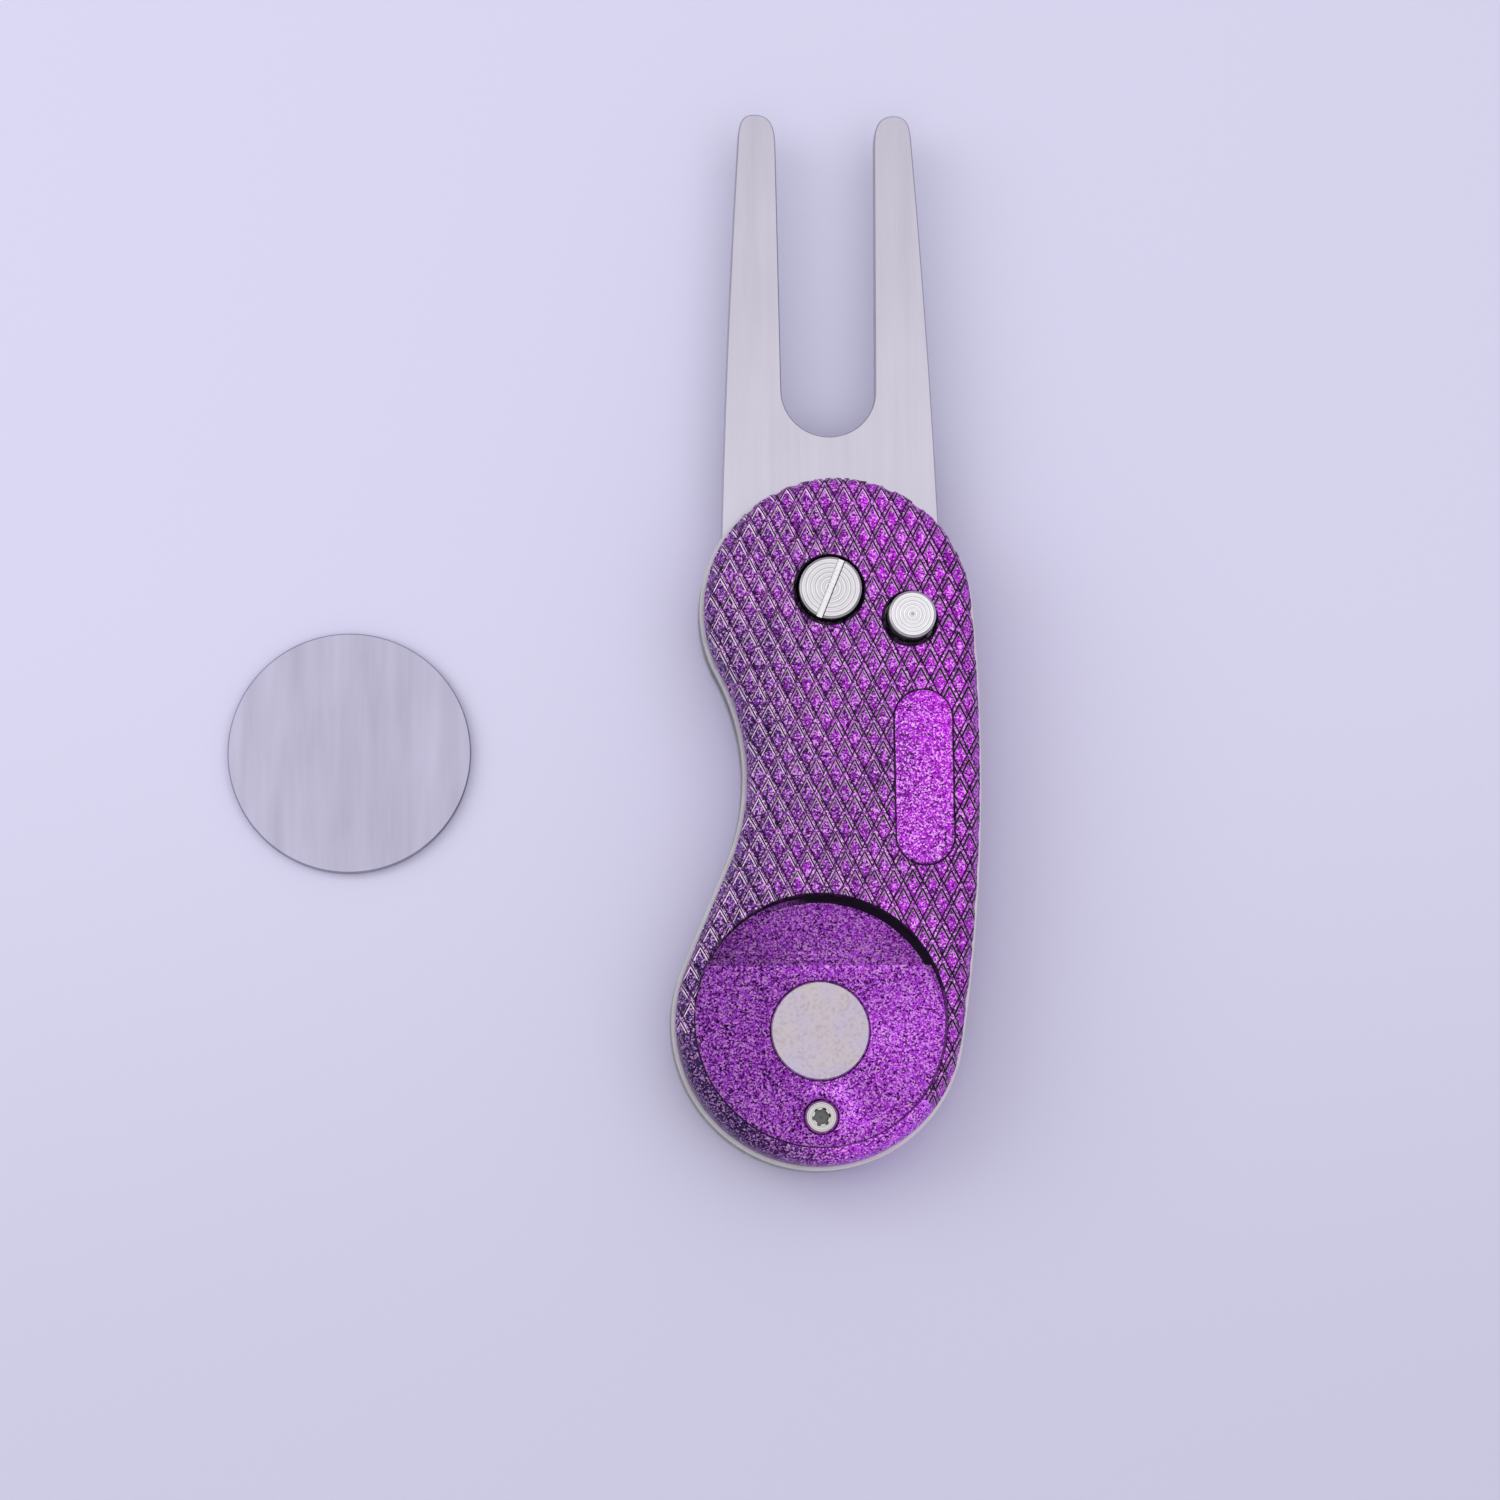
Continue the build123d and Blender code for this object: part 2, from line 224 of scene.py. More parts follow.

# painted shadow over the pivot's recess and the button's hole, out to these radii
recess = [((1.43 * mm, 43.9 * mm), 3.72 * mm), ((9.60 * mm, 40.92 * mm), 2.92 * mm)]

paint = {
    "black": (0.008, 0.001, 0.020),
    "indigo": (0.075, 0.022, 0.24),
    "magenta": (0.55, 0.008, 0.75),
    "pale": (0.86, 0.45, 0.90),
    "web": (0.28, 0.060, 0.33),     # pinker tone of the raised web
    "open": (0.62, 0.060, 0.98),    # brighter tone of the smooth pocket, and the painted highlight on the band
    "line": (1.0, 0.86, 0.98),      # painted highlight along an edge
    "shade": (0.006, 0.001, 0.012), # painted shade: dark lines at the feet of edges, and painted shadows in recesses and round the pocket and pad
    "flake": 6400.0,                # flakes per metre
    "finer": 1.7,                   # how much denser the second set of flakes is
    "mix": (0.7, 0.3),              # shares of the two sets in a flake's brightness
    "slope": 42.0,                  # painted light: from indigo to magenta along X, per metre, the paint's colour shift under this lighting
    "start": 0.42,                  # the share of magenta over the pocket's centre
    "top": (34.0 * mm, 52.0 * mm),  # painted light too: the round top turns magenta between these in Y
    "topShare": 0.35,
    "drift": 110.0,                 # scale of the slow wander between the two tones
    "wander": 1.2,
    "perFlake": 0.35,               # how much the tone changes from flake to flake
    "litSide": 0.16,                # painted light: how much lighter the magenta side is
    "litBase": -0.05,
    "litCut": 0.05,                 # painted shade: how much darker the diamonds are there
    "dark": (0.22, 0.54),           # brightness over which black flakes turn to colour
    "bright": (0.58, 0.82),         # and colour to pale flakes
    "paleShare": 0.9,
    "metal": 0.5,
    "rough": 0.36,
    "roughSpread": 0.2,
    "coat": 0.04,
    "coatRough": 0.12,
    "shine": 0.22,
    "bump": 0.02 * mm,
    "bumpStrength": 0.5,
}

smooth = {
    "middle": 6.0 * mm,             # halfway up the handle
    "faces": (3.6 * mm, 4.5 * mm),  # the painted lines fade in over this height from there
    "pocketTone": 0.55,             # the pocket's share of magenta, and how far it is drawn to it
    "pocketPull": 0.7,
    "openShare": 0.8,
    "bandGlow": (-4.0 * mm, 8.0 * mm),   # painted highlight: the band brightens between these in X
    "bandDusk": (-8.0 * mm, 3.0 * mm),   # and is shaded on the other side
    "bandShade": 0.5,
    "rim": (12.62 * mm, 12.82 * mm),     # painted shade line round the pocket, as radii
    "rimShade": 0.8,
    "wall": (12.05 * mm, 12.78 * mm),    # shadow under the pocket's far wall
    "wallUp": (1.0 * mm, 9.0 * mm),      # fades in between these in Y
    "wallAcross": (-8.0 * mm, 1.0 * mm), # and these in X
    "wallShade": 0.95,
    "ramp": (5.6 * mm, 11.0 * mm),       # painted shade on the fingernail ramp: its near end, and where the shade lightens
    "rampShade": (0.5, 0.28),
}

# painted highlights and painted shade along the diamonds' edges, and the raised web's tone
edgeShadingAndWeb = {
    "ends": (0.10, 0.90),    # how much of a diamond's side the lines run along
    "slope": 45.0,           # from the waist to the open side along X, per metre
    "start": 0.35,
    "webEdge": (-0.01, 0.02),
    "web": (0.25, 0.40),     # the web tone's share, and what a pale flake adds to it
    "inner": (0.19, 0.84),   # the diamond's floor
    # painted shade on the diamonds' floors, on the indigo side
    "innerShade": 0.24,
    "brightMix": (0.7, 0.5),
    "darkMix": 0.96,
    # painted shade line round the pad
    "padShade": 0.95,
}

# painted highlights (first list) and painted shade (second list) along a diamond's upper sides: which side, from
# and to as shares of a cell, how much nearer they start on the open side, how strong they are at the waist and how
# that changes towards the open side
edgeHighlights = [
    ("right", 0.840, 0.895, 0.0, 1.0, -0.55),
    ("right", 0.965, 1.0, 0.0, 0.6, -0.45),
    ("left", 0.840, 0.885, 0.0, 0.9, -0.35),
    ("left", 0.985, 1.0, 0.0, 0.3, 0.0),
]
edgeShadeLines = [
    ("right", 0.893, 0.970, 0.035, 1.0, 0.0),
    ("left", 0.883, 0.987, 0.030, 0.65, 0.35),
]
# painted shade at the feet of the lower sides, which runs on across the cell
footShadeLines = [
    ("left", 0.10, 0.19, 0.0, 0.70, 0.30),
    ("right", 0.10, 0.20, 0.0, 0.85, 0.15),
]


def distance(x, y):
    return (x * x + y * y).root()


def drawn(m, lines, lattice, turn, ends=None):
    # the lines' strengths added up; ends limits each to its own side of the diamond
    total = 0.0
    for side, low, high, nearer, strength, change in lines:
        start = low - turn * nearer if nearer else low
        line = m.window(lattice[side], start, high) * (turn * change + strength)
        if ends:
            line = line * ends[side]
        total = line + total
    return total


def coverAreas(m, x, y, z):
    # which part of a knurled cover a point is on, each as 0 to 1
    cx, cy, cz = knurl["centre"]
    q = (y - cy) * (1 / knurl["along"])
    p = (x - cx - (y - cy) * knurl["lean"]) * (1 / knurl["across"])
    right, left = q + p, q - p
    right, left = right - right.floor(), left - left.floor()
    reach = distance(x, y)
    inPocket = reach.less(knurl["bandReach"])
    angle = y.heading(x)
    band = angle.less(knurl["bandHigh"]) * (1 - angle.less(knurl["bandLow"]))
    px, py = pad["centre"]
    wide, tall = pad["half"]
    pastPad = m.larger(m.size(y - py) - (tall - wide), 0.0)
    fromPad = distance(x - px, pastPad) - wide
    cut = (1 - inPocket) * (1 - band) * (1 - fromPad.less(0.0))
    cut = cut * m.size(z - smooth["middle"]).step(*smooth["faces"])
    low = m.smaller(m.smaller(right, 1 - right), m.smaller(left, 1 - left))
    webLow, webHigh = edgeShadingAndWeb["webEdge"]
    onWeb = (1 - low.step(knurl["web"] + webLow, knurl["web"] + webHigh)) * cut
    return {
        "lattice": {"right": right, "left": left}, "reach": reach, "fromPad": fromPad,
        "cut": cut, "onWeb": onWeb, "inPocket": inPocket, "onBand": band * (1 - inPocket),
    }


def edgeShading(m, x, areas, side):
    # painted highlights and painted shade along the diamonds' edges, and painted shade on their floors
    turn = (x * edgeShadingAndWeb["slope"] + edgeShadingAndWeb["start"]).clamp()
    lattice, cut = areas["lattice"], areas["cut"]
    right, left = lattice["right"], lattice["left"]
    ends = {"right": m.window(left, *edgeShadingAndWeb["ends"]) * cut, "left": m.window(right, *edgeShadingAndWeb["ends"]) * cut}
    bright = drawn(m, edgeHighlights, lattice, turn, ends)
    dark = drawn(m, edgeShadeLines, lattice, turn, ends) + drawn(m, footShadeLines, lattice, turn) * cut
    inner = m.window(right, *edgeShadingAndWeb["inner"]) * m.window(left, *edgeShadingAndWeb["inner"]) * cut
    return bright, dark + inner * (1 - side) * edgeShadingAndWeb["innerShade"]


def rimShade(m, x, y, areas):
    # painted shade and painted shadows: the dark edges and soft shadows of the pad, the band, the pocket and the
    # recesses
    reach = areas["reach"]
    dark = m.window(areas["fromPad"], 0.0, pad["rim"]) * edgeShadingAndWeb["padShade"]
    dark = dark + areas["onBand"] * (1 - x.step(*smooth["bandDusk"])) * smooth["bandShade"]
    fade = y.step(*smooth["wallUp"]) * x.step(*smooth["wallAcross"])
    dark = dark + m.window(reach, *smooth["wall"]) * fade * smooth["wallShade"]
    dark = dark + m.window(reach, *smooth["rim"]) * smooth["rimShade"]
    rampStart, rampEnd = smooth["ramp"]
    shadeStart, shadeLoss = smooth["rampShade"]
    ramp = shadeStart - y.step(rampStart, rampEnd) * shadeLoss
    dark = dark + areas["inPocket"] * (1 - y.less(rampStart)) * ramp
    # painted shadow round the pivot and the button
    for (hx, hy), radius in recess:
        dark = dark + distance(x - hx, y - hy).less(radius)
    return dark


def flakePaint(name, patterned):
    m = Finish(
        name, Coat_Weight=paint["coat"], Coat_Roughness=paint["coatRough"], Specular_IOR_Level=paint["shine"]
    )
    where = m.place()
    x, y, z = m.split(where)
    red, green, spare = m.split(m.cells(where, paint["flake"]))
    fine, extra, spare = m.split(m.cells(where, paint["flake"] * paint["finer"]))
    drift = m.noise(where, paint["drift"], 3.0)
    coarseShare, fineShare = paint["mix"]
    glow = red * coarseShare + fine * fineShare
    # painted light: the paint's colour shift from indigo on the left to magenta on the right and over the round top
    side = x * paint["slope"] + paint["start"] + y.step(*paint["top"]) * paint["topShare"]
    side = (side + (drift - 0.5) * paint["wander"] + (green - 0.5) * paint["perFlake"]).clamp()
    body = m.blend(side, paint["indigo"], paint["magenta"])
    if patterned:
        areas = coverAreas(m, x, y, z)
        webShare, webFlake = edgeShadingAndWeb["web"]
        body = m.blend(areas["onWeb"] * (fine * webFlake + webShare), body, paint["web"])
        side = side + areas["inPocket"] * (smooth["pocketTone"] - side) * smooth["pocketPull"]
        # the pocket's brighter tone, and a painted highlight on the band's right side
        openness = (areas["inPocket"] + areas["onBand"] * x.step(*smooth["bandGlow"])) * smooth["openShare"]
        body = m.blend(openness, body, paint["open"])
    # painted light and shade: the magenta side lighter, its diamonds darker
    lit = glow + side * paint["litSide"] + paint["litBase"]
    if patterned:
        lit = lit - areas["cut"] * side * paint["litCut"]
    flaked = m.blend(lit.step(*paint["dark"]), paint["black"], body)
    colour = m.blend(glow.step(*paint["bright"]) * paint["paleShare"], flaked, paint["pale"])
    if patterned:
        # painted highlights along the diamonds' edges, then painted shade and painted shadows
        bright, dark = edgeShading(m, x, areas, side)
        dark = dark + rimShade(m, x, y, areas)
        brightBase, brightFlake = edgeShadingAndWeb["brightMix"]
        colour = m.blend((bright * (extra * brightFlake + brightBase)).clamp(), colour, paint["line"])
        colour = m.blend((dark * edgeShadingAndWeb["darkMix"]).clamp(), colour, paint["shade"])
    m.set(Base_Color=colour, Metallic=paint["metal"], Roughness=red * paint["roughSpread"] + paint["rough"])
    m.bump(red + fine * 0.5, paint["bump"], paint["bumpStrength"])
    return m.data


def toned(colour, factor):
    return tuple(min(1, c * factor) for c in colour)


# noise scales are across, along and through the brushing
brush = {
    "fine": (9000.0, 160.0, 9000.0),
    "wide": (1400.0, 40.0, 1400.0),
    "streak": (420.0, 60.0, 420.0),
    "cloud": 120.0,
    "fineLight": 0.35,
    "wideLight": 0.3,
    "cloudLight": 0.3,
    "low": 0.78,                    # darkest and lightest metal against its own colour
    "high": 1.16,
    "tip": (50.0 * mm, 94.0 * mm),  # painted shade: the far end darkens between these in Y
    "fineRough": 0.16,
    "cloudRough": 0.08,
    "bump": 0.012 * mm,
    "bumpStrength": 0.5,
}


def brushedSteel(name, colour, along, rough=0.34, scratch=0.6, tip=None, streaks=0.3):
    # along is the direction of the brushing, as an angle from +Y in radians; tip is how much painted shade darkens
    # the far end
    m = Finish(name, Metallic=1.0)
    fine = m.noise(m.mapped(brush["fine"], turn=along), 1.0, 4.0, 0.65)
    wide = m.noise(m.mapped(brush["wide"], turn=along), 1.0, 2.0)
    cloud = m.noise(m.place(), brush["cloud"], 3.0)
    streak = m.noise(m.mapped(brush["streak"], turn=along), 1.0, 3.0)
    light = (fine - 0.5) * brush["fineLight"] + (wide - 0.5) * brush["wideLight"]
    light = light + (streak - 0.5) * streaks + (cloud - 0.5) * brush["cloudLight"]
    # painted shade: the far end darker, where less light is reflected
    if tip:
        x, y, z = m.split(m.place())
        light = light - y.step(*brush["tip"]) * tip
    shade = m.blend((light + 0.5).clamp(), toned(colour, brush["low"]), toned(colour, brush["high"]))
    roughness = (fine - 0.5) * brush["fineRough"] * scratch + (cloud - 0.5) * brush["cloudRough"] + rough
    m.set(Base_Color=shade, Roughness=roughness)
    m.bump(fine * 0.7 + wide * 0.3, brush["bump"], brush["bumpStrength"] * scratch)
    return m.data


lathe = {
    "wobble": 900.0,
    "sway": 2.4,                         # how far the wobble shifts a ring, in radians
    "coarser": 1.9,                      # pitch of the coarser rings against the fine ones
    "fineShare": 0.6,
    "coarseShare": 0.4,
    "wobbleShare": 0.8,
    "contrast": 0.25,
    "low": 0.34,
    "high": 1.4,
    "dimple": (0.04 * mm, 0.16 * mm),    # dark ring left by the tool at the centre, as radii
    "dimpleTone": (0.03, 0.03, 0.035),
    "dimpleShare": 0.6,
    "driver": 1.2 * mm,                  # painted shade: radius within which a driver recess is dark
    "driverTone": (0.05, 0.05, 0.05),
    "driverShare": 0.85,
    # painted highlight on the slot's floor
    "slotLight": 1.15,
    "slotEdge": 0.8,                     # how much of the slot's half width is fully light
    "slotDark": 0.09 * mm,               # dark edges of the slot: the shaded side, and the lit one
    "slotFaint": 0.05 * mm,
    "slotTone": (0.02, 0.02, 0.024),
    "rough": 0.3,
    "roughSpread": 0.12,
    "bump": 0.012 * mm,
    "bumpStrength": 0.8,
}


def turnedSteel(name, colour, centre, pitch, slot=None, socket=0.0):
    # concentric lathe rings round a vertical axis through centre; slot is a screw slot's angle and half width,
    # and socket the height under which a driver recess gets painted shade
    m = Finish(name, Metallic=1.0)
    x, y, z = m.split(m.mapped(centre=(*centre, 0)))
    radius = distance(x, y)
    wobble = m.noise(m.place(), lathe["wobble"], 2.0)
    ring = (radius * (2 * pi / pitch) + wobble * lathe["sway"]).sine()
    coarse = (radius * (2 * pi / (pitch * lathe["coarser"])) + 1.0).sine()
    height = ring * lathe["fineShare"] + coarse * lathe["coarseShare"] + (wobble - 0.5) * lathe["wobbleShare"]
    tone = (height * lathe["contrast"] + 0.5).clamp()
    shade = m.blend(tone, toned(colour, lathe["low"]), toned(colour, lathe["high"]))
    shade = m.blend(m.window(radius, *lathe["dimple"]) * lathe["dimpleShare"], shade, lathe["dimpleTone"])
    # painted shade in the driver recess
    if socket:
        inSocket = z.less(socket) * m.window(radius, 0.0, lathe["driver"])
        shade = m.blend(inSocket * lathe["driverShare"], shade, lathe["driverTone"])
    # painted highlight on the slot's floor and painted shade along its edges
    if slot:
        turn, half = slot
        off = x * sin(turn) - y * cos(turn)
        inSlot = 1 - m.size(off).step(half * lathe["slotEdge"], half)
        shade = m.blend(inSlot, shade, toned(colour, lathe["slotLight"]))
        edge = m.window(off, half, half + lathe["slotDark"])
        edge = edge + m.window(off, -half - lathe["slotFaint"], -half) * 0.5
        shade = m.blend(edge, shade, lathe["slotTone"])
    m.set(Base_Color=shade, Roughness=wobble * lathe["roughSpread"] + lathe["rough"])
    m.bump(height, lathe["bump"], lathe["bumpStrength"])
    return m.data


plating = {
    "grain": 2500.0,
    "cloud": 220.0,
    "low": 0.8,
    "high": 1.12,
    "patch": 330.0,
    "patchEdge": (-0.12, 0.16),
    "pit": (0.42, 0.75),
    "pitShare": 0.35,
    "pitTone": 0.45,
    "roughSpread": 0.2,
    "bump": 0.01 * mm,
    "bumpStrength": 0.4,
}


def plainMetal(name, colour, rough, grain=plating["grain"], mottle=0.0, tint=None):
    # mottle is how strongly the plating varies, towards tint
    m = Finish(name, Metallic=1.0)
    speck = m.noise(m.place(), grain, 3.0)
    cloud = m.noise(m.place(), plating["cloud"], 2.0)
    shade = m.blend(speck * 0.5 + cloud * 0.5, toned(colour, plating["low"]), toned(colour, plating["high"]))
    if mottle:
        patch = m.noise(m.place(), plating["patch"], 4.0, 0.6)
        shade = m.blend((patch - 0.5).step(*plating["patchEdge"]) * mottle, shade, tint)
        shade = m.blend(speck.step(*plating["pit"]) * plating["pitShare"], shade, toned(colour, plating["pitTone"]))
    m.set(Base_Color=shade, Roughness=(cloud - 0.5) * plating["roughSpread"] + rough)
    m.bump(speck, plating["bump"], plating["bumpStrength"])
    return m.data


def centreOf(name):
    low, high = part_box(name)
    return ((low[0] + high[0]) / 2, (low[1] + high[1]) / 2)


finishes = {
    "paint": flakePaint("flakePaint", True),
    "pad": flakePaint("padPaint", False),
    "fork": brushedSteel("forkSteel", (0.475, 0.455, 0.53), 0.0, tip=0.28),
    "liner": brushedSteel("linerSteel", (0.46, 0.45, 0.47), 0.3, 0.38),
    "marker": brushedSteel("markerSteel", (0.372, 0.357, 0.46), 1.45, 0.36, scratch=1.4, streaks=1.1),
    "spacer": plainMetal("spacerSteel", (0.22, 0.21, 0.23), 0.5),
    "pivot": turnedSteel(
        "pivotSteel", (0.60, 0.59, 0.61), centreOf("pivot_screw"), 0.24 * mm, slot=(radians(68.0), 0.31 * mm)
    ),
    "button": turnedSteel("buttonSteel", (0.68, 0.67, 0.69), centreOf("lock_button"), 0.21 * mm),
    "tail": turnedSteel("tailSteel", (0.50, 0.48, 0.47), centreOf("tail_screw"), 0.2 * mm, socket=10.2 * mm),
    "magnet": plainMetal("nickel", (0.43, 0.385, 0.48), 0.38, 2600.0, mottle=1.0, tint=(0.43, 0.38, 0.40)),
    "bronze": plainMetal("bronze", (0.55, 0.38, 0.20), 0.42),
    "wire": plainMetal("springWire", (0.36, 0.36, 0.38), 0.4),
    "inner": plainMetal("innerSteel", (0.5, 0.49, 0.5), 0.4),
}
nodeFinish = {
    "fork": "fork", "front_liner": "liner", "rear_liner": "liner", "ball_marker": "marker",
    "spine_spacer": "spacer", "tail_spacer": "spacer", "pivot_screw": "pivot", "pivot_nut": "pivot",
    "lock_button": "button", "tail_screw": "tail", "tail_nut": "tail", "magnet": "magnet",
    "fork_bushing": "bronze", "pivot_washer_front": "bronze", "pivot_washer_rear": "bronze",
    "opening_spring": "wire", "button_spring": "wire", "front_cover": "paint", "rear_cover": "paint",
}


def dress():
    for name, node in nodes.items():
        finish = finishes[nodeFinish.get(name, "inner")]
        for slot in node.material_slots:
            slot.material = finish


dress()
print("finishes set:", len(finishes))


merge = 1e-6                 # points nearer than this are one


def outlineOf(name, atTop):
    # the node's outer edge on its flat inner face, as one closed mesh loop
    mesh = bmesh.new()
    mesh.from_mesh(nodes[name].data)
    bmesh.ops.remove_doubles(mesh, verts=mesh.verts, dist=merge)
    low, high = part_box(name)
    level = high[2] if atTop else low[2]
    rest = [f for f in mesh.faces if any(abs(v.co.z - level) >= merge for v in f.verts)]
    bmesh.ops.delete(mesh, geom=rest, context="FACES")
    edge = [e for e in mesh.edges if len(e.link_faces) == 1]
    start = max(edge, key=lambda e: e.verts[0].co.x)
    loop = [start.verts[0], start.verts[1]]
    used = {start}
    while True:
        onward = [e for e in loop[-1].link_edges if e in edge and e not in used]
        if not onward:
            break
        used.add(onward[0])
        loop.append(onward[0].other_vert(loop[-1]))
        if loop[-1] == loop[0]:
            loop.pop()
            break
    points = [Vector((v.co.x, v.co.y, 0.0)) for v in loop]
    mesh.free()
    return points


def outlineObject(name, points):
    # the outline as one flat face
    mesh = bpy.data.meshes.new(name)
    mesh.from_pydata(points, [], [list(range(len(points)))])
    made = bpy.data.objects.new(name, mesh)
    bpy.context.scene.collection.objects.link(made)
    return made


def mergedCopy(node, name):
    # a closed copy to cut; the node itself stays as it is
    mesh = bmesh.new()
    mesh.from_mesh(nodes[node].data)
    bmesh.ops.remove_doubles(mesh, verts=mesh.verts, dist=merge)
    data = bpy.data.meshes.new(name)
    mesh.to_mesh(data)
    mesh.free()
    data.materials.clear()
    made = bpy.data.objects.new(name, data)
    bpy.context.scene.collection.objects.link(made)
    return made


class Graph(Tree):
    # a geometry tree with named inputs

    def __init__(self, name, inputs):
        self.tree = bpy.data.node_groups.new(name, "GeometryNodeTree")
        self.sockets = {}
        for label, kind in inputs.items():
            socket = self.tree.interface.new_socket(label, in_out="INPUT", socket_type="NodeSocket" + kind)
            self.sockets[label] = socket.identifier
        self.tree.interface.new_socket("Geometry", in_out="OUTPUT", socket_type="NodeSocketGeometry")
        self.entry = self.tree.nodes.new("NodeGroupInput")
        self.exit = self.tree.nodes.new("NodeGroupOutput")

    def value(self, label):
        return Sock(self, self.entry.outputs[label])

    def object(self, label):
        return self.node("GeometryNodeObjectInfo", None, {"Object": self.value(label)}, "Geometry")

    def nearest(self, shape, kind, where, output):
        inputs = {0: shape, "Sample Position": where}
        return self.node("GeometryNodeProximity", {"target_element": kind}, inputs, output)

    def store(self, geometry, name, kind, value):
        settings = {"data_type": kind, "domain": "POINT"}
        inputs = {"Geometry": geometry, "Name": name, "Value": value}
        return self.node("GeometryNodeStoreNamedAttribute", settings, inputs)

    def attribute(self, name, kind):
        return self.node("GeometryNodeInputNamedAttribute", {"data_type": kind}, {"Name": name}, "Attribute")

    def finish(self, geometry, material):
        real = self.node("GeometryNodeRealizeInstances", None, {0: geometry})
        made = self.node("GeometryNodeSetMaterial", None, {"Geometry": real, "Material": material})
        self.feed(self.exit.inputs[0], made)

    def apply(self, name, values):
        # runs the tree once and leaves its result as a plain mesh
        host = bpy.data.objects.new(name + "Host", bpy.data.meshes.new(name + "Host"))
        bpy.context.scene.collection.objects.link(host)
        modifier = host.modifiers.new("build", "NODES")
        modifier.node_group = self.tree
        for label, value in values.items():
            modifier[self.sockets[label]] = value
        graph = bpy.context.evaluated_depsgraph_get()
        data = bpy.data.meshes.new_from_object(host.evaluated_get(graph))
        host.modifiers.remove(modifier)
        bpy.data.objects.remove(host)
        data.name = name
        made = bpy.data.objects.new(name, data)
        bpy.context.scene.collection.objects.link(made)
        return made


# the settings that go into the tree under their own names
knurlLabels = {
    "Across": "across", "Along": "along", "Lean": "lean", "Web": "web", "Wall": "wall", "Depth": "depth",
    "Lift": "lift", "Dome": "dome", "Reach": "reach", "BandLow": "bandLow", "BandHigh": "bandHigh",
    "BandReach": "bandReach",
}


